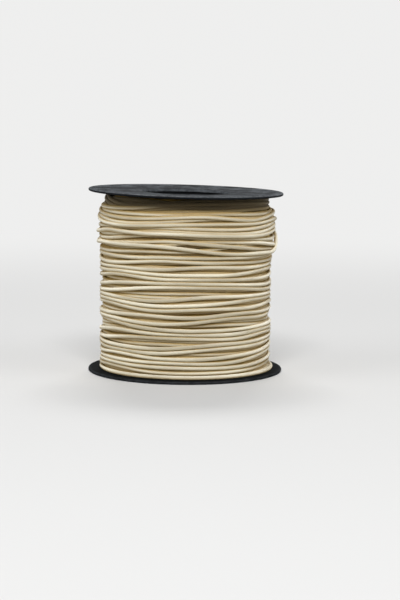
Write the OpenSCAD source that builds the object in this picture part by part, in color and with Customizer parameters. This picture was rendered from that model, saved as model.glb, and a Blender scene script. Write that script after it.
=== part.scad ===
// Flanged filament spool, wound full and standing on its lower flange.
// Two thin moulded flanges are pressed into the ends of a core tube, and one unbroken filament is wound between them.
// Frame: the origin is the centre of the lower flange's outer face, and +Z runs up the spindle bore.

/* [Flanges] */
// Diameter of each flange
flange_d = 70; // [66:1:90]
// Thickness of each flange disc
flange_t = 1.0; // [0.8:0.1:2]
// Width of the chamfer on both edges of a flange's rim
rim_chamfer = 0.25; // [0.05:0.05:0.35]
// Diameter of the spindle hole in each flange
bore_d = 31.5; // [20:0.5:34]
// Step from the lip of the spindle hole out to the wider bore of the collar
lip_step = 0.6; // [0.2:0.1:1.2]
// Wall of the collar that presses into the core tube
collar_wall = 1.2; // [0.8:0.1:2]
// Length of that collar, below the flange disc
collar_len = 6; // [3:0.5:10]
// Lean of the upper flange disc out of square with the axis, in degrees, its +X side low
upper_lean = 1.2; // [0:0.1:2]

/* [Core tube] */
// Clear height between the flange discs, measured at the axis
traverse = 63.2; // [60:0.2:90]
// Wall of the core tube
tube_wall = 1.8; // [1:0.1:3]

/* [Filament] */
// Diameter of the filament
filament_d = 1.4; // [1.3:0.05:1.6]
// Diameter over the outer layer of turns, away from the bulge
winding_d = 61.6; // [56:0.2:64]
// Turns in the outer layer
turns = 24; // [12:1:24]
// Extra radius where slack turns pile up below the upper flange
bulge = 1.2; // [0:0.1:1.6]
// Height of the middle of that bulge, as a share of the traverse
bulge_at = 0.78; // [0.3:0.02:0.85]
// Half the height over which the bulge fades away
bulge_reach = 9; // [5:1:14]
// Rise and fall of a turn halfway up, where the turns lie least level
turn_sway = 0.8; // [0:0.1:1]

/* [Hidden] */
$fn = 96;

flange_colour = "#2a2c2e";
tube_colour = "#1d1e20";
filament_colour = "#d9cdb2";

height = traverse + 2 * flange_t;
collar_bore_d = bore_d + 2 * lip_step;
collar_d = collar_bore_d + 2 * collar_wall;
tube_d = collar_d + 2 * tube_wall;
clear = 0.1;      // gap that keeps touching curved faces from cutting each other
past = 2;         // how far a cutting shape reaches past what it cuts

// Height lost under the leaning flange, out to a radius
function lean_drop(radius) = radius * tan(upper_lean);

tube_len = traverse - lean_drop(tube_d / 2);
filament_r = filament_d / 2;
winding_top = flange_t + traverse - lean_drop(winding_d / 2 + bulge) - clear;
bulge_z = flange_t + bulge_at * traverse;

// Outer radius of the winding at a height
function winding_r(z) = winding_d / 2 + bulge * exp(-pow((z - bulge_z) / bulge_reach, 2));

// ---- Route of the outer layer -------------------------------------------------------------------
rings_per_turn = 24;
ring_sides = 6;
last_angle = 360 * turns;
start_azimuth = 90;                          // both ends tuck in at the back
tuck_bend = 2.0;                             // radius of the bend into the winding
tuck_steps = 4;                              // rings round that bend
tuck_run = filament_d;                       // straight run of an end, square to its seat
sway_drift = 15;                             // degrees that a turn's high side moves on with each turn
first_z = flange_t + filament_r + clear;
last_z = winding_top - filament_r;

function sway(angle) = turn_sway * sin(180 * angle / last_angle) * sin(angle * (1 + sway_drift / 360));
function turn_z(angle) = first_z + (last_z - first_z) * angle / last_angle + sway(angle);
function turn_r(z) = winding_r(z) - filament_r;
function outward(angle) = [cos(start_azimuth + angle), sin(start_azimuth + angle), 0];
function forward(angle) = [-sin(start_azimuth + angle), cos(start_azimuth + angle), 0];
function on_turn(angle) = turn_r(turn_z(angle)) * outward(angle) + [0, 0, turn_z(angle)];

// One end, from its seat inside the winding out to the turn; way is 1 at the start and -1 at the finish
function bend_centre(angle) = on_turn(angle) - tuck_bend * outward(angle);
function on_bend(angle, way, b) =
    bend_centre(angle) + tuck_bend * (cos(b) * outward(angle) - way * sin(b) * forward(angle));
function tuck(angle, way) = [
    on_bend(angle, way, 90) - tuck_run * outward(angle),
    for (i = [0 : tuck_steps - 1]) on_bend(angle, way, 90 * (1 - i / tuck_steps))
];
function reversed(list) = [for (i = [len(list) - 1 : -1 : 0]) list[i]];

route = [
    each tuck(0, 1),
    for (i = [0 : rings_per_turn * turns]) on_turn(360 * i / rings_per_turn),
    each reversed(tuck(last_angle, -1))
];

// Least gap between stretches of the filament at least half a turn apart, surface to surface
least_gap = min([
    for (i = [0 : len(route) - 1])
        for (j = [i + rings_per_turn / 2 : len(route) - 1]) norm(route[i] - route[j])
]) - filament_d;
echo(least_gap_mm = least_gap, outer_layer_m = route_length(route) / 1000);

function route_length(points) =
    sum_of([for (i = [1 : len(points) - 1]) norm(points[i] - points[i - 1])]);
function sum_of(list) = list * [for (value = list) 1];

// ---- Swept tube ---------------------------------------------------------------------------------
function unit(v) = v / norm(v);
function heading(points, i) = unit(points[min(i + 1, len(points) - 1)] - points[max(i - 1, 0)]);
function upward(along) = unit([0, 0, 1] - along[2] * along);
function ring(centre, along) = [
    for (k = [0 : ring_sides - 1])
        centre + filament_r * (cos(360 * k / ring_sides) * cross(along, upward(along))
            + sin(360 * k / ring_sides) * upward(along))
];

module tube_along(points) {
    last = ring_sides * (len(points) - 1);
    polyhedron(
        points = [for (i = [0 : len(points) - 1]) each ring(points[i], heading(points, i))],
        faces = [
            for (k = [1 : ring_sides - 2]) [0, k + 1, k],
            for (i = [0 : len(points) - 2])
                for (k = [0 : ring_sides - 1])
                    each let (a = i * ring_sides + k, b = i * ring_sides + (k + 1) % ring_sides)
                        [[a, b, a + ring_sides], [b, b + ring_sides, a + ring_sides]],
            for (k = [1 : ring_sides - 2]) [last, last + k, last + k + 1]
        ]
    );
}

// ---- Sub-parts ----------------------------------------------------------------------------------
// A flange with its outer face down at z = 0: the disc may lean, the collar and the hole stay square
module flange(lean) {
    difference() {
        union() {
            rotate([0, lean, 0]) rotate_extrude() polygon([
                [0, 0],
                [flange_d / 2 - rim_chamfer, 0],
                [flange_d / 2, rim_chamfer],
                [flange_d / 2, flange_t - rim_chamfer],
                [flange_d / 2 - rim_chamfer, flange_t],
                [0, flange_t]
            ]);
            translate([0, 0, -past / 2]) cylinder(d = collar_d, h = past / 2 + flange_t + collar_len);
        }
        rotate([0, lean, 0]) translate([0, 0, -2 * past]) cylinder(d = flange_d + past, h = 2 * past);
        translate([0, 0, -past]) cylinder(d = bore_d, h = flange_t + collar_len + 2 * past);
        translate([0, 0, flange_t]) cylinder(d = collar_bore_d, h = collar_len + past);
    }
}

module lower_flange() {
    color(flange_colour) flange(0);
}

module upper_flange() {
    color(flange_colour) translate([0, 0, height]) mirror([0, 0, 1]) flange(-upper_lean);
}

module core_tube() {
    color(tube_colour) translate([0, 0, flange_t]) difference() {
        cylinder(d = tube_d, h = tube_len);
        translate([0, 0, -past]) cylinder(d = collar_d, h = tube_len + 2 * past);
    }
}

// Room in the inner layers for one tucked end, with a flat floor square to the end
module tuck_pocket(angle, way) {
    floor_r = turn_r(turn_z(angle)) - tuck_bend - tuck_run;
    pocket_len = tuck_bend + filament_r + 2 * clear;
    rotate([0, 0, start_azimuth + angle])
        translate([floor_r, (way > 0 ? -pocket_len : -clear), turn_z(angle) - filament_r - clear])
            cube([winding_d / 2, pocket_len + clear, filament_d + 2 * clear]);
}

// Every layer under the outer one, as a plain body that follows the winding's profile
module inner_winding() {
    steps = 32;
    body_h = winding_top - flange_t;
    color(filament_colour) difference() {
        rotate_extrude() polygon([
            [tube_d / 2, flange_t],
            for (i = [0 : steps])
                let (z = flange_t + body_h * i / steps)
                    [turn_r(z) * cos(180 / rings_per_turn) - filament_r - clear, z],
            [tube_d / 2, winding_top]
        ]);
        tuck_pocket(0, 1);
        tuck_pocket(last_angle, -1);
    }
}

// The outer layer: one filament, both ends tucked into the winding
module outer_turns() {
    color(filament_colour) tube_along(route);
}

lower_flange();
upper_flange();
core_tube();
inner_winding();
outer_turns();
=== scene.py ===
# %% [markdown]
# # A wound filament spool
# Two thin black flanges sit on a core tube, and one soft, pale filament is wound between them until
# the spool is full. This lesson dresses the plain construction of the spool: it gives the flanges
# their rounded rims and scuffed plastic, and it lays the filament turn by turn, each turn resting
# on the ones under it, so that the winding looks hand-guided and not machined.

# %% Load the construction
import math

import bmesh
import bpy
import numpy as np
from mathutils import Matrix, Vector


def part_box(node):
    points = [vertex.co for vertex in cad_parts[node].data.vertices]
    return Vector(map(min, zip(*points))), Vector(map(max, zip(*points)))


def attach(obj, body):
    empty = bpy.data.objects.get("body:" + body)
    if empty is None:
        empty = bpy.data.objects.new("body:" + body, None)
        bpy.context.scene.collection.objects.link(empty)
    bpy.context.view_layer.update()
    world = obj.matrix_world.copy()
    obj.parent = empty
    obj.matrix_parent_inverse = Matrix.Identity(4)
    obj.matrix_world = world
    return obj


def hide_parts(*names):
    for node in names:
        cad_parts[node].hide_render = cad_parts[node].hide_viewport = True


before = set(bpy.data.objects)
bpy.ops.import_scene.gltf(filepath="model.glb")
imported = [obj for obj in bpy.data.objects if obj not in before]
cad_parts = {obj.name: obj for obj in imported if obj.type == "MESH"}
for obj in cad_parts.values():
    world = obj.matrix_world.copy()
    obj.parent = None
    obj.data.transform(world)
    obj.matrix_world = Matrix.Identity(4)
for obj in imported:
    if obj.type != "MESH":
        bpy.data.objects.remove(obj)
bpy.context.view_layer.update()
MM = 0.001
print("construction nodes:", ", ".join(sorted(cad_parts)))

# %% [markdown]
# ## Measures
# Every size comes from the construction: the flanges' boxes give the height and the diameter, and
# the tube's box gives the core. Only sizes that the construction doesn't hold, such as the soft
# radius on a rim, are chosen here.

# %% Measures taken from the construction
lower_lo, lower_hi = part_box("lower_flange")
upper_lo, upper_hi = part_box("upper_flange")
tube_lo, tube_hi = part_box("core_tube")
turns_lo, turns_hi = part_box("outer_turns")

FLANGE_R = lower_hi.x
FLANGE_T = tube_lo.z
TUBE_R = tube_hi.x
UPPER_LEAN = math.radians(1.2)
SPOOL_H = upper_hi.z - FLANGE_R * math.sin(UPPER_LEAN)
COLLAR_LEN = lower_hi.z - FLANGE_T
BORE_R = 15.75 * MM
COLLAR_BORE_R = 16.35 * MM
COLLAR_R = 17.55 * MM
FILAMENT_R = 0.7 * MM
print(f"flange {2 * FLANGE_R / MM:.1f} mm across, spool {SPOOL_H / MM:.1f} mm high")

# %% [markdown]
# ## Camera
# The spool stands at about arm's length on a table and is seen from a little above, so that the
# upper flange is a thin ellipse with its hole just showing. A long lens keeps the sides upright.
# The camera is turned by less than half a degree about its own axis, as a hand-set one is.

# %% Camera
FRAME_W, FRAME_H = 400, 600
FOCAL_PX = 1823
SENSOR_MM = 36
camera_data = bpy.data.cameras.new("camera")
camera_data.sensor_fit = "VERTICAL"
camera_data.sensor_height = SENSOR_MM
camera_data.lens = FOCAL_PX / FRAME_H * SENSOR_MM
camera_data.clip_start = 0.01
camera_data.clip_end = 50
camera = bpy.data.objects.new("camera", camera_data)
bpy.context.scene.collection.objects.link(camera)
CAMERA_AT = Vector((5.32, -655.0, 105.3)) * MM
CAMERA_DOWN = math.radians(6.96)
CAMERA_ROLL = math.radians(0.45)
camera.matrix_world = (
    Matrix.Translation(CAMERA_AT)
    @ Matrix.Rotation(math.pi / 2 - CAMERA_DOWN, 4, "X")
    @ Matrix.Rotation(CAMERA_ROLL, 4, "Z")
)
bpy.context.scene.camera = camera
print(f"camera {CAMERA_AT.length:.3f} m away, lens {camera_data.lens:.0f} mm")

# %% [markdown]
# ## Floor, sky and lamps
# A plain pale floor fades into a pale backdrop. Four soft lamps stand round the spool, as studio soft
# boxes do: a weak, low one at each side, a stronger one in front and above, and one behind and
# above. The world adds a little light from all round, and shows the camera and the glossy
# reflections a pale backdrop.


# %% Small helpers for node trees
def new_node(tree, kind, at=(0, 0), **settings):
    node = tree.nodes.new(kind)
    node.location = at
    for name, value in settings.items():
        setattr(node, name, value)
    return node


def new_material(name):
    material = bpy.data.materials.new(name)
    material.use_nodes = True
    material.node_tree.nodes.clear()
    return material


def math_node(tree, operation, *sources, clamp=False):
    node = new_node(tree, "ShaderNodeMath", operation=operation, use_clamp=clamp)
    for i, source in enumerate(sources):
        if isinstance(source, (int, float)):
            node.inputs[i].default_value = source
        else:
            tree.links.new(source, node.inputs[i])
    return node.outputs[0]


def shown_to_eye(tree):
    """1 for what the camera, a mirror or a glass shows, and 0 for light that reaches a dull surface."""
    rays = new_node(tree, "ShaderNodeLightPath")
    direct = math_node(tree, "MAXIMUM", rays.outputs["Is Camera Ray"], rays.outputs["Is Glossy Ray"])
    return math_node(tree, "MAXIMUM", direct, rays.outputs["Is Transmission Ray"])


# %% World
world = bpy.data.worlds.new("studio")
bpy.context.scene.world = world
world.use_nodes = True
sky = world.node_tree
sky.nodes.clear()
SKY_LIGHT = 0.22
BACKDROP = (0.86, 0.86, 0.855, 1)
light_part = new_node(sky, "ShaderNodeBackground")
light_part.inputs["Color"].default_value = (1, 1, 1, 1)
light_part.inputs["Strength"].default_value = SKY_LIGHT
seen_part = new_node(sky, "ShaderNodeBackground")
seen_part.inputs["Color"].default_value = BACKDROP
sky_mix = new_node(sky, "ShaderNodeMixShader")
sky_out = new_node(sky, "ShaderNodeOutputWorld")
sky.links.new(shown_to_eye(sky), sky_mix.inputs["Fac"])
sky.links.new(light_part.outputs[0], sky_mix.inputs[1])
sky.links.new(seen_part.outputs[0], sky_mix.inputs[2])
sky.links.new(sky_mix.outputs[0], sky_out.inputs["Surface"])


# %% Lamps
def soft_lamp(name, at, aim, width, depth, watts):
    lamp = bpy.data.lights.new(name, "AREA")
    lamp.shape = "RECTANGLE"
    lamp.size = width
    lamp.size_y = depth
    lamp.energy = watts
    holder = bpy.data.objects.new(name, lamp)
    bpy.context.scene.collection.objects.link(holder)
    holder.location = at
    holder.rotation_euler = (Vector(aim) - Vector(at)).to_track_quat("-Z", "Y").to_euler()
    return holder


MIDDLE = (0, 0, SPOOL_H / 2)
soft_lamp("left_soft_box", (-0.86, -0.34, 0.30), MIDDLE, 0.60, 0.50, 3.3)
soft_lamp("right_soft_box", (0.86, -0.34, 0.30), MIDDLE, 0.60, 0.50, 3.0)
soft_lamp("front_soft_box", (0.0, -0.74, 0.78), MIDDLE, 0.50, 0.30, 7.3)
soft_lamp("back_soft_box", (0.0, 0.66, 0.86), MIDDLE, 0.50, 0.30, 5.5)

# %% Floor: a pale diffuse floor near the spool, which fades into the backdrop further off
FLOOR_SIDE = 12.0
FADE_FROM, FADE_TO = 0.12, 0.6
# The floor throws back less light than it shows, so that the undersides of the turns stay shaded
FLOOR_BOUNCE, FLOOR_SEEN = (0.2, 0.2, 0.2, 1), (0.66, 0.66, 0.656, 1)
half = FLOOR_SIDE / 2
floor_corners = [(-half, -half, 0), (half, -half, 0), (half, half, 0), (-half, half, 0)]
floor_mesh = bpy.data.meshes.new("floor")
floor_mesh.from_pydata(floor_corners, [], [(0, 1, 2, 3)])
floor = bpy.data.objects.new("floor", floor_mesh)
bpy.context.scene.collection.objects.link(floor)
floor_paint = new_material("pale_floor")
floor_tree = floor_paint.node_tree
floor_near = new_node(floor_tree, "ShaderNodeBsdfDiffuse")
floor_tone = new_node(floor_tree, "ShaderNodeMix", data_type="RGBA")
floor_tone.inputs["A"].default_value = FLOOR_BOUNCE
floor_tone.inputs["B"].default_value = FLOOR_SEEN
floor_tree.links.new(shown_to_eye(floor_tree), floor_tone.inputs["Factor"])
floor_tree.links.new(floor_tone.outputs["Result"], floor_near.inputs["Color"])
floor_far = new_node(floor_tree, "ShaderNodeEmission")
floor_far.inputs["Color"].default_value = BACKDROP
floor_place = new_node(floor_tree, "ShaderNodeTexCoord")
floor_reach = new_node(floor_tree, "ShaderNodeVectorMath", operation="LENGTH")
floor_tree.links.new(floor_place.outputs["Object"], floor_reach.inputs[0])
fade = new_node(floor_tree, "ShaderNodeMapRange", interpolation_type="SMOOTHERSTEP")
fade.inputs["From Min"].default_value = FADE_FROM
fade.inputs["From Max"].default_value = FADE_TO
floor_tree.links.new(floor_reach.outputs["Value"], fade.inputs["Value"])
floor_mix = new_node(floor_tree, "ShaderNodeMixShader")
fade_seen = math_node(floor_tree, "MULTIPLY", fade.outputs["Result"], shown_to_eye(floor_tree))
floor_tree.links.new(fade_seen, floor_mix.inputs["Fac"])
floor_tree.links.new(floor_near.outputs[0], floor_mix.inputs[1])
floor_tree.links.new(floor_far.outputs[0], floor_mix.inputs[2])
floor_out = new_node(floor_tree, "ShaderNodeOutputMaterial")
floor_tree.links.new(floor_mix.outputs[0], floor_out.inputs["Surface"])
floor_mesh.materials.append(floor_paint)
print("floor, world and lamps in place")

# %% [markdown]
# ## Shared surface effects
# Real plastic and real cord are never one even colour. The effects that the materials are made of
# are node groups with named sockets: slow mottling, specks and patches of dust that gather on upward
# faces, the distance from the spool's axis, the wear of a rubbed edge, which is also a painted
# highlight there, and the crossing threads of a braided sheath.


# %% Node group helpers
def new_group(name, inputs, outputs):
    group = bpy.data.node_groups.new(name, "ShaderNodeTree")
    for socket, default in inputs.items():
        made = group.interface.new_socket(name=socket, in_out="INPUT", socket_type="NodeSocketFloat")
        made.default_value = default
    for socket in outputs:
        group.interface.new_socket(name=socket, in_out="OUTPUT", socket_type="NodeSocketFloat")
    group_in = new_node(group, "NodeGroupInput", (-900, 0))
    group_out = new_node(group, "NodeGroupOutput", (700, 0))
    return group, group_in, group_out


def use_group(tree, group, **values):
    node = new_node(tree, "ShaderNodeGroup", node_tree=group)
    for name, value in values.items():
        node.inputs[name.replace("_", " ")].default_value = value
    return node


def object_noise(tree, scale, detail=2.0, roughness=0.5):
    place = new_node(tree, "ShaderNodeTexCoord")
    noise = new_node(tree, "ShaderNodeTexNoise")
    noise.inputs["Detail"].default_value = detail
    noise.inputs["Roughness"].default_value = roughness
    tree.links.new(place.outputs["Object"], noise.inputs["Vector"])
    if isinstance(scale, (int, float)):
        noise.inputs["Scale"].default_value = scale
    else:
        tree.links.new(scale, noise.inputs["Scale"])
    return noise.outputs[0]


def blend_colour(tree, factor, first, second):
    mix = new_node(tree, "ShaderNodeMix", data_type="RGBA")
    tree.links.new(factor, mix.inputs["Factor"])
    for source, socket in ((first, mix.inputs["A"]), (second, mix.inputs["B"])):
        if isinstance(source, tuple):
            socket.default_value = (*source, 1)
        else:
            tree.links.new(source, socket)
    return mix.outputs["Result"]


# %% Mottle group: slow unevenness, as flow marks in moulded plastic
mottle, mottle_in, mottle_out = new_group("mottle", {"Scale": 200.0, "Contrast": 1.0}, ["Value"])
mottle_noise = object_noise(mottle, mottle_in.outputs["Scale"], detail=4.0, roughness=0.6)
centred = math_node(mottle, "SUBTRACT", mottle_noise, 0.5)
spread = math_node(mottle, "MULTIPLY", centred, mottle_in.outputs["Contrast"])
mottle.links.new(math_node(mottle, "ADD", spread, 0.5, clamp=True), mottle_out.inputs["Value"])

# %% Dust group: fine specks and a thin film in patches, on upward faces only
dust, dust_in, dust_out = new_group("dust", {"Scale": 1500.0, "Amount": 0.3, "Film": 0.2}, ["Mask"])
speck_noise = object_noise(dust, dust_in.outputs["Scale"], detail=2.0)
more_specks = math_node(dust, "MULTIPLY", dust_in.outputs["Amount"], 0.25)
speck_edge = math_node(dust, "SUBTRACT", 0.74, more_specks)
past_edge = math_node(dust, "SUBTRACT", speck_noise, speck_edge)
specks = math_node(dust, "MULTIPLY", past_edge, 14.0, clamp=True)
film_noise = object_noise(dust, 150.0, detail=9.0, roughness=0.75)
patches = math_node(dust, "MULTIPLY_ADD", film_noise, 7.0, -3.2, clamp=True)
film = math_node(dust, "MULTIPLY", patches, dust_in.outputs["Film"])
face = new_node(dust, "ShaderNodeNewGeometry")
face_up = new_node(dust, "ShaderNodeSeparateXYZ")
dust.links.new(face.outputs["Normal"], face_up.inputs[0])
upward = math_node(dust, "MULTIPLY_ADD", face_up.outputs["Z"], 3.0, -0.6, clamp=True)
both = math_node(dust, "MAXIMUM", specks, film)
dust.links.new(math_node(dust, "MULTIPLY", both, upward, clamp=True), dust_out.inputs["Mask"])

# %% Distance group: how far a place is from the Z axis
from_axis, _, axis_out = new_group("from_axis", {}, ["Distance"])
axis_place = new_node(from_axis, "ShaderNodeTexCoord")
axis_flat = new_node(from_axis, "ShaderNodeVectorMath", operation="MULTIPLY")
axis_flat.inputs[1].default_value = (1, 1, 0)
from_axis.links.new(axis_place.outputs["Object"], axis_flat.inputs[0])
axis_length = new_node(from_axis, "ShaderNodeVectorMath", operation="LENGTH")
from_axis.links.new(axis_flat.outputs[0], axis_length.inputs[0])
from_axis.links.new(axis_length.outputs["Value"], axis_out.inputs["Distance"])

# %% Worn and highlit edge group: paler near a radius from the Z axis, as rubbed wear and painted highlight on a round edge
worn_and_highlit_edge, edge_in, edge_out = new_group(
    "worn_and_highlit_edge", {"Radius": 0.03, "Width": 0.001, "Underside": 0.0}, ["Mask"]
)
edge_at = use_group(worn_and_highlit_edge, from_axis).outputs["Distance"]
away = math_node(
    worn_and_highlit_edge, "ABSOLUTE", math_node(worn_and_highlit_edge, "SUBTRACT", edge_in.outputs["Radius"], edge_at)
)
far_off = math_node(worn_and_highlit_edge, "DIVIDE", away, edge_in.outputs["Width"])
near_edge = math_node(worn_and_highlit_edge, "SUBTRACT", 1.0, far_off, clamp=True)
edge_noise = math_node(
    worn_and_highlit_edge, "MULTIPLY_ADD", object_noise(worn_and_highlit_edge, 600.0, detail=4.0), 2.0, -0.3, clamp=True
)
edge_face = new_node(worn_and_highlit_edge, "ShaderNodeNewGeometry")
edge_up = new_node(worn_and_highlit_edge, "ShaderNodeSeparateXYZ")
worn_and_highlit_edge.links.new(edge_face.outputs["Normal"], edge_up.inputs[0])
edge_side = math_node(worn_and_highlit_edge, "MULTIPLY_ADD", edge_up.outputs["Z"], 3.0, -0.6, clamp=True)
edge_side = math_node(worn_and_highlit_edge, "MAXIMUM", edge_side, edge_in.outputs["Underside"])
rubbed_and_highlit = math_node(worn_and_highlit_edge, "MULTIPLY", near_edge, edge_noise)
worn_and_highlit_edge.links.new(math_node(worn_and_highlit_edge, "MULTIPLY", rubbed_and_highlit, edge_side), edge_out.inputs["Mask"])

# %% Braid group: two sets of helical threads that cross over each other
braid, braid_in, braid_out = new_group(
    "braid", {"Along": 0.0, "Around": 0.0, "Pitch": 0.0005, "Threads": 4.0}, ["Height"]
)
turns_along = math_node(braid, "DIVIDE", braid_in.outputs["Along"], braid_in.outputs["Pitch"])
turns_round = math_node(braid, "MULTIPLY", braid_in.outputs["Around"], braid_in.outputs["Threads"])
left_hand = math_node(braid, "ADD", turns_along, turns_round)
right_hand = math_node(braid, "SUBTRACT", turns_along, turns_round)
ridges = [
    math_node(braid, "ABSOLUTE", math_node(braid, "SINE", math_node(braid, "MULTIPLY", hand, math.pi)))
    for hand in (left_hand, right_hand)
]
braid.links.new(math_node(braid, "MAXIMUM", *ridges), braid_out.inputs["Height"])
print("node groups:", ", ".join(g.name for g in bpy.data.node_groups))

# %% [markdown]
# ## Black plastic of the flanges
# The flanges are thin mouldings in black plastic with a dull, slightly waxy skin. The upper one has
# picked up dust, in specks and in soft patches that thin out towards the hole, and this pale film also
# serves as painted sheen on its face. Its rim and the lip of its hole are rubbed paler, which is also a
# painted highlight on those round edges. The lower one has less dust and a deeper black, which paints
# in the shade it lies in. The skin's gloss wanders slowly over the face, and a shallow bump gives the
# soft waviness of a thin moulding.

# %% Flange plastic
# DEEP_BLACK, for the lower flange, is a darker copy of the black plastic: painted shade
BLACK, DEEP_BLACK = (0.011, 0.012, 0.0135), (0.003, 0.0034, 0.0038)
# The pale grey of dust, which also serves as painted sheen and painted highlight
DUST_AND_SHEEN_GREY = (0.14, 0.152, 0.165)
RIM_WEAR_AND_HIGHLIGHT, LIP_WEAR_AND_HIGHLIGHT = 1.3 * MM, 0.58 * MM
DUST_AT_HOLE, DUST_AT_RIM = 0.5, 1.0


def plastic_material(name, base, dullness, specks, film, rim, underside):
    material = new_material(name)
    tree = material.node_tree
    shader = new_node(tree, "ShaderNodeBsdfPrincipled")
    out = new_node(tree, "ShaderNodeOutputMaterial")
    tree.links.new(shader.outputs[0], out.inputs["Surface"])
    slow = use_group(tree, mottle, Scale=120.0, Contrast=1.6).outputs["Value"]
    fine = use_group(tree, mottle, Scale=1400.0, Contrast=1.4).outputs["Value"]
    dust_and_sheen = use_group(tree, dust, Scale=1300.0, Amount=specks, Film=film).outputs["Mask"]
    wiped = new_node(tree, "ShaderNodeMapRange", interpolation_type="SMOOTHSTEP")
    wiped.inputs["From Min"].default_value = BORE_R + 6 * MM
    wiped.inputs["From Max"].default_value = FLANGE_R - 1 * MM
    wiped.inputs["To Min"].default_value = DUST_AT_HOLE
    wiped.inputs["To Max"].default_value = DUST_AT_RIM
    tree.links.new(use_group(tree, from_axis).outputs["Distance"], wiped.inputs["Value"])
    dust_and_sheen = math_node(tree, "MULTIPLY", dust_and_sheen, wiped.outputs["Result"])
    # Painted highlight: the rubbed rim and lip are also made paler for the light their round edges catch
    rim_wear_and_highlight = use_group(tree, worn_and_highlit_edge, Radius=FLANGE_R, Width=RIM_WEAR_AND_HIGHLIGHT, Underside=underside)
    lip_wear_and_highlight = use_group(tree, worn_and_highlit_edge, Radius=BORE_R, Width=LIP_WEAR_AND_HIGHLIGHT, Underside=1.0)
    for marked, strength in ((rim_wear_and_highlight, rim), (lip_wear_and_highlight, 0.75 * rim)):
        pale_and_highlit_edge = math_node(tree, "MULTIPLY", marked.outputs["Mask"], strength)
        dust_and_sheen = math_node(tree, "MAXIMUM", dust_and_sheen, pale_and_highlit_edge)
    skin = blend_colour(tree, slow, base, tuple(1.5 * c for c in base))
    tree.links.new(blend_colour(tree, dust_and_sheen, skin, DUST_AND_SHEEN_GREY), shader.inputs["Base Color"])
    rough = math_node(tree, "ADD", dullness, math_node(tree, "MULTIPLY", slow, 0.12))
    rough = math_node(tree, "ADD", rough, math_node(tree, "MULTIPLY", dust_and_sheen, 0.2), clamp=True)
    tree.links.new(rough, shader.inputs["Roughness"])
    shader.inputs["Specular IOR Level"].default_value = 0.02
    bump = new_node(tree, "ShaderNodeBump")
    bump.inputs["Strength"].default_value = 0.35
    bump.inputs["Distance"].default_value = 0.05 * MM
    height = math_node(tree, "ADD", fine, math_node(tree, "MULTIPLY", slow, 4.0))
    tree.links.new(height, bump.inputs["Height"])
    tree.links.new(bump.outputs[0], shader.inputs["Normal"])
    return material


# Upper flange: dust, with its film also serving as painted sheen
dust_and_sheen_plastic = plastic_material(
    "dust_and_sheen_black_plastic", BLACK, dullness=0.66, specks=0.5, film=0.95, rim=1.0, underside=0.0
)
# Lower flange: less dust and a deeper black, as painted shade
clean_shaded_plastic = plastic_material(
    "clean_shaded_black_plastic", DEEP_BLACK, dullness=0.74, specks=0.1, film=0.03, rim=0.2, underside=1.0
)
tube_plastic = plastic_material(
    "tube_plastic", BLACK, dullness=0.7, specks=0.1, film=0.1, rim=0.0, underside=0.0
)

# %% [markdown]
# ## Pale filament
# The filament is a soft cord: a fine braided sheath, ivory in colour, round and a little satiny.
# Its threads are much finer than the cord, so they are a bump driven by the cord's own length and
# girth, which the mesh carries as a UV map, and their grooves are darkened as painted shade. The
# undyed thread changes a little from one length to the next, so neighbouring turns differ. The
# cord's underside gets an amber tint as painted shade, and where other turns shelter it, painted
# shade turns it to honey and then to brown. Right under the upper flange a dark tint paints the
# flange's shadow. The mesh carries one value for how sheltered each corner is, and one for how far
# the flange roofs it.

# %% Filament material
IVORY, DULL_IVORY = (0.90, 0.865, 0.735), (0.62, 0.57, 0.445)
# Painted shade: amber on the cord's underside, and honey and brown where other turns shelter it
UNDERSIDE_SHADE_AMBER, SHELTER_SHADE_HONEY, DEEP_SHADE_BROWN = (0.80, 0.69, 0.44), (0.58, 0.45, 0.235), (0.46, 0.30, 0.08)
# Painted shadow: the dark tint of the turns right under the upper flange
FLANGE_SHADOW_TINT = (0.15, 0.12, 0.07)


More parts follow.
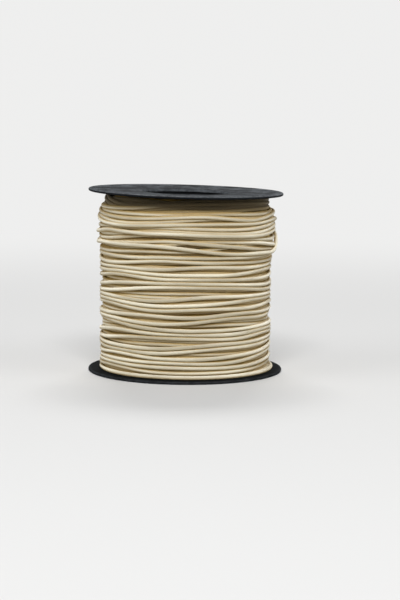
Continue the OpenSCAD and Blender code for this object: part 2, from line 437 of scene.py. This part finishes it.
def filament_material(name):
    material = new_material(name)
    tree = material.node_tree
    shader = new_node(tree, "ShaderNodeBsdfPrincipled")
    out = new_node(tree, "ShaderNodeOutputMaterial")
    tree.links.new(shader.outputs[0], out.inputs["Surface"])
    girth_map = new_node(tree, "ShaderNodeUVMap", uv_map="length_and_girth")
    map_parts = new_node(tree, "ShaderNodeSeparateXYZ")
    tree.links.new(girth_map.outputs[0], map_parts.inputs[0])
    along, girth = map_parts.outputs["X"], map_parts.outputs["Y"]
    threads = use_group(tree, braid, Pitch=0.5, Threads=4.0)
    tree.links.new(along, threads.inputs["Along"])
    tree.links.new(girth, threads.inputs["Around"])
    lot = new_node(tree, "ShaderNodeTexNoise", noise_dimensions="1D")
    lot.inputs["Scale"].default_value = 0.022
    lot.inputs["Detail"].default_value = 3.0
    tree.links.new(along, lot.inputs["W"])
    drift = math_node(tree, "MULTIPLY_ADD", lot.outputs[0], 3.2, -1.1, clamp=True)
    fibre = use_group(tree, mottle, Scale=2600.0, Contrast=1.2).outputs["Value"]
    cord = blend_colour(tree, drift, DULL_IVORY, IVORY)
    facing_up = math_node(tree, "SINE", math_node(tree, "MULTIPLY_ADD", girth, 2 * math.pi, -math.pi))
    sheltered = new_node(tree, "ShaderNodeAttribute", attribute_name="sheltered").outputs["Fac"]
    roofed = new_node(tree, "ShaderNodeAttribute", attribute_name="roofed").outputs["Fac"]
    # Each tint: what it follows, where it starts, where it is full, and its colour
    tints = [
        # Painted shade: the cord's underside turns amber
        (facing_up, 0.1, -0.9, UNDERSIDE_SHADE_AMBER),
        # Painted shade between the turns: honey, then brown where they lie deepest
        (sheltered, 0.08, 0.42, SHELTER_SHADE_HONEY),
        (sheltered, 0.4, 0.9, DEEP_SHADE_BROWN),
        # Painted shadow under the upper flange, by how far it roofs each corner
        (roofed, 0.26, 0.48, FLANGE_SHADOW_TINT),
    ]
    for cause, start, full, tone in tints:
        depth = new_node(tree, "ShaderNodeMapRange", interpolation_type="SMOOTHSTEP")
        depth.inputs["From Min"].default_value = start
        depth.inputs["From Max"].default_value = full
        tree.links.new(cause, depth.inputs["Value"])
        cord = blend_colour(tree, depth.outputs["Result"], cord, tone)
    # Painted shade: the braid's grooves are darkened towards brown
    shade = math_node(tree, "MULTIPLY_ADD", threads.outputs["Height"], 0.35, 0.65)
    marked = blend_colour(tree, shade, DEEP_SHADE_BROWN, cord)
    tree.links.new(marked, shader.inputs["Base Color"])
    tree.links.new(math_node(tree, "MULTIPLY_ADD", fibre, 0.2, 0.45), shader.inputs["Roughness"])
    shader.inputs["Specular IOR Level"].default_value = 0.10
    shader.inputs["Diffuse Roughness"].default_value = 1.0
    shader.inputs["Sheen Weight"].default_value = 0.04
    shader.inputs["Sheen Roughness"].default_value = 0.4
    bump = new_node(tree, "ShaderNodeBump")
    bump.inputs["Strength"].default_value = 0.7
    bump.inputs["Distance"].default_value = 0.10 * MM
    height = math_node(tree, "ADD", threads.outputs["Height"], math_node(tree, "MULTIPLY", fibre, 0.4))
    tree.links.new(height, bump.inputs["Height"])
    tree.links.new(bump.outputs[0], shader.inputs["Normal"])
    return material


ivory_filament = filament_material("ivory_filament")
print("materials:", ", ".join(m.name for m in bpy.data.materials))

# %% [markdown]
# ## Flanges
# Each flange is a thin disc with a collar that presses into the core tube. It could be a cylinder
# with a hole and a bevel, but a turned profile gives every edge its own small radius: the rim, the
# lip of the spindle hole and the foot of the collar. The upper disc leans a little, because it was
# not pressed on quite square, while its collar stays in line with the tube.


# %% Turned shapes
def rounded(corners, steps=5):
    """Points of a closed outline whose corners (radius, height, fillet) are rounded by arcs."""
    points = []
    for i, (x, y, fillet) in enumerate(corners):
        before, here, after = (np.array(corners[(i + k) % len(corners)][:2]) for k in (-1, 0, 1))
        if fillet == 0:
            points.append(here)
            continue
        back = (before - here) / np.linalg.norm(before - here)
        on = (after - here) / np.linalg.norm(after - here)
        half_angle = math.acos(float(np.clip(back @ on, -1, 1))) / 2
        reach = fillet / math.tan(half_angle)
        start, end = here + back * reach, here + on * reach
        centre = here + (back + on) / np.linalg.norm(back + on) * fillet / math.sin(half_angle)
        for k in range(steps + 1):
            arm = (start - centre) * (1 - k / steps) + (end - centre) * (k / steps)
            points.append(centre + arm / np.linalg.norm(arm) * fillet)
    return np.array(points)


def turned(name, outline, segments=180):
    """A closed outline of (radius, height) points swept round the Z axis."""
    count = len(outline)
    angles = 2 * np.pi * np.arange(segments) / segments
    vertices = np.empty((segments, count, 3))
    vertices[:, :, 0] = np.cos(angles)[:, None] * outline[:, 0]
    vertices[:, :, 1] = np.sin(angles)[:, None] * outline[:, 0]
    vertices[:, :, 2] = outline[:, 1]
    faces = []
    for s in range(segments):
        here, there = s * count, (s + 1) % segments * count
        for k in range(count):
            up = (k + 1) % count
            faces.append((here + k, there + k, there + up, here + up))
    mesh = bpy.data.meshes.new(name)
    mesh.from_pydata(vertices.reshape(-1, 3).tolist(), [], faces)
    mesh.shade_smooth()
    piece = bpy.data.objects.new(name, mesh)
    bpy.context.scene.collection.objects.link(piece)
    return piece


def moved_points(piece, move):
    """Rewrites a piece's vertices with move(points), where points is an array of rows x, y, z."""
    flat = np.empty(len(piece.data.vertices) * 3)
    piece.data.vertices.foreach_get("co", flat)
    piece.data.vertices.foreach_set("co", move(flat.reshape(-1, 3)).ravel())
    piece.data.update()


# %% Flange outline: the outer face is down, at height 0
RIM_SOFT = 0.45 * MM
EDGE_SOFT = 0.12 * MM
LIP_SOFT = 0.6 * MM
INNER_SOFT = 0.5 * MM


def flange_outline():
    face_steps = 14
    outer_face = [(BORE_R + (FLANGE_R - BORE_R) * k / face_steps, 0, 0) for k in range(1, face_steps)]
    inner_face = [
        (FLANGE_R + (COLLAR_R - FLANGE_R) * k / face_steps, FLANGE_T, 0) for k in range(1, face_steps)
    ]
    return rounded(
        [
            (BORE_R, 0, LIP_SOFT),
            *outer_face,
            (FLANGE_R, 0, RIM_SOFT),
            (FLANGE_R, FLANGE_T, RIM_SOFT),
            *inner_face,
            (COLLAR_R, FLANGE_T, INNER_SOFT),
            (COLLAR_R, FLANGE_T + COLLAR_LEN, EDGE_SOFT),
            (COLLAR_BORE_R, FLANGE_T + COLLAR_LEN, EDGE_SOFT),
            (COLLAR_BORE_R, FLANGE_T, EDGE_SOFT),
            (BORE_R, FLANGE_T, EDGE_SOFT),
        ]
    )


def fix_normals(piece):
    shape = bmesh.new()
    shape.from_mesh(piece.data)
    bmesh.ops.recalc_face_normals(shape, faces=shape.faces)
    shape.to_mesh(piece.data)
    shape.free()


def add_piece(piece, material, slot, *nodes):
    piece.data.materials.clear()
    piece.data.materials.append(material)
    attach(piece, "root")
    if nodes:
        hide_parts(*nodes)
    print(f"{piece.name}: {len(piece.data.vertices)} vertices")


# %% Lower flange
lower = turned("lower_flange_moulding", flange_outline())
fix_normals(lower)
add_piece(lower, clean_shaded_plastic, "flange_plastic", "lower_flange")

# %% Upper flange: turned over, lifted, leaned, dished, and very slightly warped
WARP = 0.12 * MM
DISH = 0.65 * MM


def seat_upper(points):
    out = points.copy()
    out[:, 2] = SPOOL_H - points[:, 2]
    depth = points[:, 2] - FLANGE_T
    on_disc = 1 - np.clip(depth / COLLAR_LEN, 0, 1)
    far = np.hypot(points[:, 0], points[:, 1]) / FLANGE_R
    angle = np.arctan2(points[:, 1], points[:, 0])
    out[:, 2] -= on_disc * points[:, 0] * math.tan(UPPER_LEAN)
    out[:, 2] += on_disc * WARP * (np.cos(2 * angle) - 1) / 2 * far**2
    out[:, 2] -= on_disc * DISH * np.clip(1 - (far * FLANGE_R - BORE_R) / (FLANGE_R - BORE_R), 0, 1)
    return out


upper = turned("upper_flange_moulding", flange_outline())
moved_points(upper, seat_upper)
fix_normals(upper)
add_piece(upper, dust_and_sheen_plastic, "flange_plastic", "upper_flange")

# %% [markdown]
# ## Core tube
# The tube shows only down the spindle hole. Its plain shape is already right, so it keeps the
# construction's mesh and gets a dull plastic.

# %% Core tube
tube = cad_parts["core_tube"]
tube.data.materials.clear()
tube.data.materials.append(tube_plastic)

# %% [markdown]
# ## Inner layers
# Under the turns that show, the spool is packed with many more. Nobody sees them, except as a dark
# ridged surface at the bottom of a gap, so a turned body with one ridge for each turn is enough.

# %% Inner layers
WIND_LOW = FLANGE_T + 0.02 * MM
WIND_HIGH = turns_hi.z
PACKED_R = 27.55 * MM
RIDGE_POINTS = 6


def smooth_step(x):
    x = np.clip(x, 0, 1)
    return x * x * (3 - 2 * x)


def packed_radius(z, angle):
    """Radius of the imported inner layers: slimmer at both ends, fuller below the top, most so at +X."""
    top = smooth_step((z - (WIND_HIGH - 5 * MM)) / (4 * MM))
    bottom = smooth_step((4 * MM - z) / (4 * MM))
    fuller = np.exp(-(((z - 52.5 * MM) / (7 * MM)) ** 2))
    slipped = smooth_step(np.cos(angle)) * np.exp(-(((z - 51 * MM) / (6 * MM)) ** 2))
    return PACKED_R - 1.2 * MM * top - 0.3 * MM * bottom + 0.4 * MM * fuller + 1.1 * MM * slipped


ridge_count = int((WIND_HIGH - WIND_LOW) / (2 * FILAMENT_R))
heights = np.linspace(WIND_LOW, WIND_HIGH, ridge_count * RIDGE_POINTS + 1)
ridge_phase = np.arange(len(heights)) / RIDGE_POINTS
ridge_depth = 0.5 * FILAMENT_R * (1 - np.abs(np.sin(np.pi * ridge_phase)))
ridges_r = packed_radius(heights, math.pi) - ridge_depth
inner_outline = np.array(
    [(TUBE_R + 0.01 * MM, WIND_LOW), *zip(ridges_r, heights), (TUBE_R + 0.01 * MM, WIND_HIGH)]
)


def slip_out(points):
    """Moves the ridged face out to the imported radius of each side, and leaves the bore round."""
    out = points.copy()
    angle = np.arctan2(points[:, 1], points[:, 0])
    more = packed_radius(points[:, 2], angle) - packed_radius(points[:, 2], math.pi)
    radius = np.hypot(points[:, 0], points[:, 1])
    stretch = 1 + more / radius * (radius > TUBE_R + 0.1 * MM)
    out[:, :2] *= stretch[:, None]
    return out


inner = turned("packed_inner_layers", inner_outline, segments=120)
moved_points(inner, slip_out)
fix_normals(inner)

# %% [markdown]
# ## Laying the filament
# A neat helix would look like a spring. A real hand-guided winding wanders: the guide that feeds
# the filament travels up and down the spool several times, and the tension pulls each turn towards
# the nearest valley between the turns below it. So the filament is laid here the same way, one
# short step at a time. At each step it may move up or down a little, and it takes the height that
# best trades a small radius (the tension) against staying near the guide. Its radius is whatever
# lets it rest on the turns that already lie at that side of the spool.

# %% The guide's route, in turns of the spool
STEPS = 120
START_ANGLE = math.pi / 2
LOW = FLANGE_T + 1.05 * FILAMENT_R + 0.02 * MM
HIGH = WIND_HIGH - FILAMENT_R
# One row for each journey: turns, whether it climbs, how long it stays at the lower flange, how far
# above that flange it starts or ends, how far below the upper one, wander, pull of the valleys
JOURNEYS = [
    (41, True, 0.0, 0.0, 0.0, 1.2 * MM, 1.0),
    (38, False, 0.0, 1.5 * MM, 0.8 * MM, 0.9 * MM, 0.7),
    (31, True, 1.75, 0.0, 2.6 * MM, 1.4 * MM, 1.5),
]
# The first two journeys are the turns underneath
UNDER_TURNS = JOURNEYS[0][0] + JOURNEYS[1][0]
WANDER_SEED = 533
# The turns near the lower flange lie side by side
CLOSE_TURNS = 4.0
# Near the top the last journey leaves gaps, which the last turns fill
OPEN_TURNS, OPEN_REACH = 9.0, 20 * MM
# The last, loose turns stay near one height each, and change over at the back of the spool, in the
# first fifth of a turn
LOOSE_LEVELS = [57.2 * MM, 54.2 * MM, 51.3 * MM, 47.3 * MM]
LOOSE_WANDER = 0.4 * MM
CHANGE_OVER = 0.2
# One slack turn comes after them. It hangs a little on its way to +X, and there it rises in a loop
# that stands off the turns beside it. Where things happen is a share of that turn, from the back
SLACK_LEVEL, SLACK_HANG, SLACK_RISE = 47.6 * MM, 4.4 * MM, 6.9 * MM
HANG_FROM, HANG_LENGTH = 0.25, 0.46
RISE_FROM, RISE_LENGTH = 0.695, 0.085
LOOP_AT, LOOP_LENGTH, LOOP_BULGE = 0.745, 0.03, 0.3 * MM
# The end of the filament dives between the turns at the back
TUCK_FROM, TUCK_DEPTH = 0.88, 2.0 * MM


def wander(turns, seed):
    """Smooth wandering of about unit size, from waves of a fifth of a turn to nearly two turns."""
    random = np.random.default_rng(WANDER_SEED + seed)
    waves = [0.22, 0.31, 0.47, 0.8, 1.7]
    total = sum(np.sin(2 * np.pi * (turns / wave + random.random())) for wave in waves)
    return total / math.sqrt(len(waves) / 2)


def guide_route():
    heights, pulls = [], []
    pitch = 2.04 * FILAMENT_R
    for seed, (turns, climbs, held, lift, drop, drift, pull) in enumerate(JOURNEYS):
        done = np.arange(turns * STEPS) / STEPS
        from_bottom = done if climbs else turns - done
        marks = [0, held, held + 0.25, held + 0.25 + CLOSE_TURNS, turns]
        levels = [LOW, LOW, LOW + pitch * (held > 0), LOW + pitch * CLOSE_TURNS + pitch, HIGH - drop]
        if held:
            marks.insert(4, turns - OPEN_TURNS)
            levels.insert(4, HIGH - OPEN_REACH)
        route = np.interp(from_bottom, marks, levels) + lift * (from_bottom < CLOSE_TURNS)
        free = np.clip((from_bottom - held) / CLOSE_TURNS, 0, 1)
        heights.append(route + drift * free * wander(done, seed))
        pulls.append(np.full(len(done), pull))
    done = np.arange(STEPS) / STEPS
    level = heights[-1][-1]
    for turn, after in enumerate(LOOSE_LEVELS + [SLACK_LEVEL]):
        change = smooth_step(done / CHANGE_OVER)
        heights.append(level + (after - level) * change + LOOSE_WANDER * wander(done + turn, 9))
        pulls.append(np.full(STEPS, 1.0))
        level = after
    heights[-1] -= SLACK_HANG * np.clip((done - HANG_FROM) / HANG_LENGTH, 0, 1) ** 2
    heights[-1] += SLACK_RISE * smooth_step((done - RISE_FROM) / RISE_LENGTH)
    return np.concatenate(heights), np.concatenate(pulls)


# %% Laying it, one step at a time
REACH = 0.2 * MM
CHOICES = 29
GUIDE_PULL = 0.25
KEEP_COURSE = 0.04
SOFTEN = 5
# The cord is soft: a turn beds into the ones under it, and is pressed a little flat
BEDDED = 0.78
PRESSED_OUT, PRESSED_UP = 0.98, 1.02
# Radius at which the highest turns meet the leaning flange
TOP_TURN_R = 30 * MM


def top_limit(angle):
    """Highest place for the filament's centre: the upper flange leans, so it varies round the spool."""
    under_flange = SPOOL_H - FLANGE_T - TOP_TURN_R * np.cos(angle) * math.tan(UPPER_LEAN)
    dished = DISH * (FLANGE_R - PACKED_R) / (FLANGE_R - BORE_R)
    return under_flange - dished - FILAMENT_R - 0.15 * MM


def lay_filament(guide, pulls):
    """Height and radius of the filament's centre at each step, resting on the earlier turns."""
    width = 2 * FILAMENT_R
    shifts = np.linspace(-1, 1, CHOICES)
    raw = np.zeros((2, len(guide)))
    laid = np.zeros((2, len(guide)))
    height, course = guide[0], 0.0
    last_turn = len(guide) - STEPS
    # The slack turn seeks no valley: from -X on, it eases onto the guide's own route
    slack_from = last_turn + STEPS // 4
    for step, aim in enumerate(guide):
        loose = step >= last_turn - len(LOOSE_LEVELS) * STEPS
        reach = 2 * REACH if loose else REACH
        angle = START_ANGLE + 2 * math.pi * step / STEPS
        tries = np.clip(height + shifts * reach, LOW, top_limit(angle))
        if step > slack_from:
            ease = 0.06 + 0.5 * smooth_step((step - slack_from) / (0.12 * STEPS))
            tries = np.full(CHOICES, height + (aim - height) * ease)
        rest = packed_radius(tries, angle) + FILAMENT_R
        below = np.arange(step % STEPS, step - STEPS + 1, STEPS)
        if len(below):
            apart = tries[:, None] - laid[0, below]
            room = width * width - apart * apart
            on_turns = np.where(room > 0, laid[1, below] + BEDDED * np.sqrt(np.maximum(room, 0)), 0)
            rest = np.maximum(rest, on_turns.max(1))
        cost = pulls[step] * rest / MM + GUIDE_PULL * ((tries - aim) / MM) ** 2
        moves = (tries - height) / reach
        cost += KEEP_COURSE * (moves - course) ** 2
        best = int(cost.argmin())
        height, course = tries[best], moves[best]
        raw[:, step] = height, rest[best]
        ready = step - SOFTEN
        if ready >= 0:
            laid[:, ready] = raw[:, max(0, ready - SOFTEN) : step + 1].mean(1)
    for ready in range(len(guide) - SOFTEN, len(guide)):
        laid[:, ready] = raw[:, max(0, ready - SOFTEN) :].mean(1)
    slack = np.arange(slack_from, len(guide) - 1)
    laid[0, slack] = (raw[0, slack - 1] + raw[0, slack] + raw[0, slack + 1]) / 3
    return laid


laid_height, laid_radius = lay_filament(*guide_route())
done = np.arange(STEPS) / STEPS
laid_radius[-STEPS:] -= TUCK_DEPTH * smooth_step((done - TUCK_FROM) / (1 - TUCK_FROM))
laid_radius[-STEPS:] += LOOP_BULGE * np.exp(-(((done - LOOP_AT) / LOOP_LENGTH) ** 2))
for turn in range(0, len(laid_radius) // STEPS, 8):
    part = laid_radius[turn * STEPS : (turn + 8) * STEPS] / MM
    radii = f"{part.min():.1f} to {part.max():.1f}, mean {part.mean():.2f} mm"
    print(f"turns {turn}-{turn + 8}: radius {radii}")

# %% [markdown]
# ## The filament's mesh
# The route becomes one tube with a ring of vertices at each step. A curve with a bevel would do as
# well, but building the mesh keeps the facts at each corner that the material needs: how far along
# the cord it is and how far round, how sheltered it is, and how much of the view above it the upper
# flange takes. A second map lays one turn above the other in rows, as if the cord were cut at the
# back and rolled out flat, for anyone who wants to paint or bake the winding.

# %% One tube along the route
OUTER_SIDES, UNDER_SIDES = 12, 8
# More light comes from above than from below
LIGHT_ABOVE, LIGHT_BELOW = 1.5, 0.5
ROW_MARGIN = 0.04


def tube_mesh(name, points, shelter, roof, start_length):
    sides = shelter.shape[1]
    along = np.gradient(points, axis=0)
    along /= np.linalg.norm(along, axis=1)[:, None]
    up = np.array([0.0, 0.0, 1.0]) - along[:, 2:3] * along
    up /= np.linalg.norm(up, axis=1)[:, None]
    out = np.cross(along, up)
    turn = 2 * np.pi * np.arange(sides) / sides + np.pi
    rings = (
        points[:, None, :]
        + FILAMENT_R * PRESSED_OUT * np.cos(turn)[None, :, None] * out[:, None, :]
        + FILAMENT_R * PRESSED_UP * np.sin(turn)[None, :, None] * up[:, None, :]
    )
    count = len(points)
    ring = np.repeat(np.arange(count - 1), sides)
    side = np.tile(np.arange(sides), count - 1)
    first = ring * sides + side
    beside = ring * sides + (side + 1) % sides
    faces = np.stack([first, beside, beside + sides, first + sides], 1)
    caps = [list(range(sides))[::-1], [(count - 1) * sides + k for k in range(sides)]]
    mesh = bpy.data.meshes.new(name)
    mesh.from_pydata(rings.reshape(-1, 3).tolist(), [], faces.tolist() + caps)
    length = np.concatenate([[0], np.cumsum(np.linalg.norm(np.diff(points, axis=0), axis=1))])
    length += start_length
    near, far = length[ring] / MM, length[ring + 1] / MM
    girth, next_girth = side / sides, (side + 1) / sides
    add_values(mesh, "sheltered", shelter)
    add_values(mesh, "roofed", roof)
    add_map(mesh, "length_and_girth", [near, near, far, far], [girth, next_girth, next_girth, girth])
    rows = math.ceil((count - 1) / STEPS)
    row, place = ring // STEPS, ring % STEPS
    left, right = place / STEPS, (place + 1) / STEPS
    row_share = 1 - 2 * ROW_MARGIN
    low = (row + ROW_MARGIN + row_share * girth) / rows
    high = (row + ROW_MARGIN + row_share * next_girth) / rows
    add_map(mesh, "OFBake", [left, left, right, right], [low, high, high, low])
    mesh.shade_smooth()
    piece = bpy.data.objects.new(name, mesh)
    bpy.context.scene.collection.objects.link(piece)
    return piece, length[-1]


def add_values(mesh, name, values):
    made = mesh.attributes.new(name, "FLOAT", "POINT")
    made.data.foreach_set("value", np.asarray(values, np.float32).ravel())


def add_map(mesh, name, across, upward):
    """A UV map for a tube: the side faces get these corners, and the two caps stay at a corner."""
    corners = np.stack([np.stack(across, 1), np.stack(upward, 1)], 2).reshape(-1, 2)
    flat = np.zeros((len(mesh.loops), 2), np.float32)
    flat[: len(corners)] = corners
    mesh.uv_layers.new(name=name).uv.foreach_set("vector", flat.ravel())


def how_sheltered(heights, radii, sides):
    """How much of its open view each corner of each ring loses to other turns and flanges: 0 to 1."""
    share = np.ones((len(heights), sides))
    facing = 2 * np.pi * ((np.arange(sides) + 0.001) / sides - 0.5)
    top = np.minimum(np.pi / 2, facing + np.pi / 2)
    bottom = np.maximum(-np.pi / 2, facing - np.pi / 2)
    for place in range(STEPS):
        z, r = heights[place::STEPS], radii[place::STEPS]
        own = np.eye(len(z), dtype=bool)[:, None, :]
        corner_z = z[:, None] + FILAMENT_R * np.sin(facing)
        corner_r = r[:, None] + FILAMENT_R * np.cos(facing)
        rise, reach = z - corner_z[..., None], r - corner_r[..., None]
        toward = np.arctan2(rise, reach)
        half_width = np.arcsin(np.clip(FILAMENT_R / np.hypot(rise, reach), 0, 1))
        above = np.where((rise > 0) & ~own, toward - half_width, np.pi / 2).min(2)
        below = np.where((rise <= 0) & ~own, toward + half_width, -np.pi / 2).max(2)
        angle = START_ANGLE + 2 * math.pi * place / STEPS
        brim = FLANGE_R - corner_r
        flange_z = SPOOL_H - FLANGE_T - FLANGE_R * math.cos(angle) * math.tan(UPPER_LEAN)
        above = np.minimum(above, np.arctan2(flange_z - corner_z, brim))
        below = np.maximum(below, -np.arctan2(corner_z - FLANGE_T, brim))
        lost_above = np.sin(top - facing) - np.sin(np.clip(above, bottom, top) - facing)
        lost_below = np.sin(np.clip(below, bottom, top) - facing) - np.sin(bottom - facing)
        lost = LIGHT_ABOVE * lost_above + LIGHT_BELOW * lost_below
        share[place::STEPS] = np.where(above > below, lost / (1 + np.cos(facing)), 1)
    return np.clip(share, 0, 1)


def how_roofed(heights, radii, sides):
    """How much of the view above each corner of each ring the upper flange takes: 0 to 1."""
    facing = 2 * np.pi * (np.arange(sides) / sides - 0.5)
    corner_z = heights[:, None] + FILAMENT_R * np.sin(facing)
    corner_r = radii[:, None] + FILAMENT_R * np.cos(facing)
    angle = START_ANGLE + 2 * np.pi * np.arange(len(heights))[:, None] / STEPS
    flange_z = SPOOL_H - FLANGE_T - FLANGE_R * np.cos(angle) * math.tan(UPPER_LEAN)
    return 1 - np.sin(np.arctan2(flange_z - corner_z, FLANGE_R - corner_r))


laid_angle = START_ANGLE + 2 * np.pi * np.arange(len(laid_height)) / STEPS
laid_points = np.stack(
    [laid_radius * np.cos(laid_angle), laid_radius * np.sin(laid_angle), laid_height], 1
)
# Both pieces hold the ring at this step, so the filament goes on from one to the other
joint = UNDER_TURNS * STEPS
under_shelter = how_sheltered(laid_height, laid_radius, UNDER_SIDES)[: joint + 1]
outer_shelter = how_sheltered(laid_height, laid_radius, OUTER_SIDES)[joint:]
under_roof = how_roofed(laid_height, laid_radius, UNDER_SIDES)[: joint + 1]
outer_roof = how_roofed(laid_height, laid_radius, OUTER_SIDES)[joint:]
under, under_length = tube_mesh("under_turns", laid_points[: joint + 1], under_shelter, under_roof, 0)
outer, whole_length = tube_mesh(
    "outer_turns_of_filament", laid_points[joint:], outer_shelter, outer_roof, under_length
)
add_piece(outer, ivory_filament, "filament", "outer_turns")
add_piece(under, ivory_filament, "filament", "outer_turns")
# The imported layers have no length or girth of their own, and lie almost wholly sheltered, so they
# get the painted brown shade of a deep gap
inner.data.uv_layers.new(name="length_and_girth")
add_values(inner.data, "sheltered", np.full(len(inner.data.vertices), 0.9))
add_piece(inner, ivory_filament, "filament", "inner_winding")
print(f"filament in the layers that show: {whole_length:.2f} m")

# %% [markdown]
# ## Finish
# The view transform is the plain one, so that a colour renders as it is written.

# %% Finish
bpy.context.scene.view_settings.view_transform = "Standard"
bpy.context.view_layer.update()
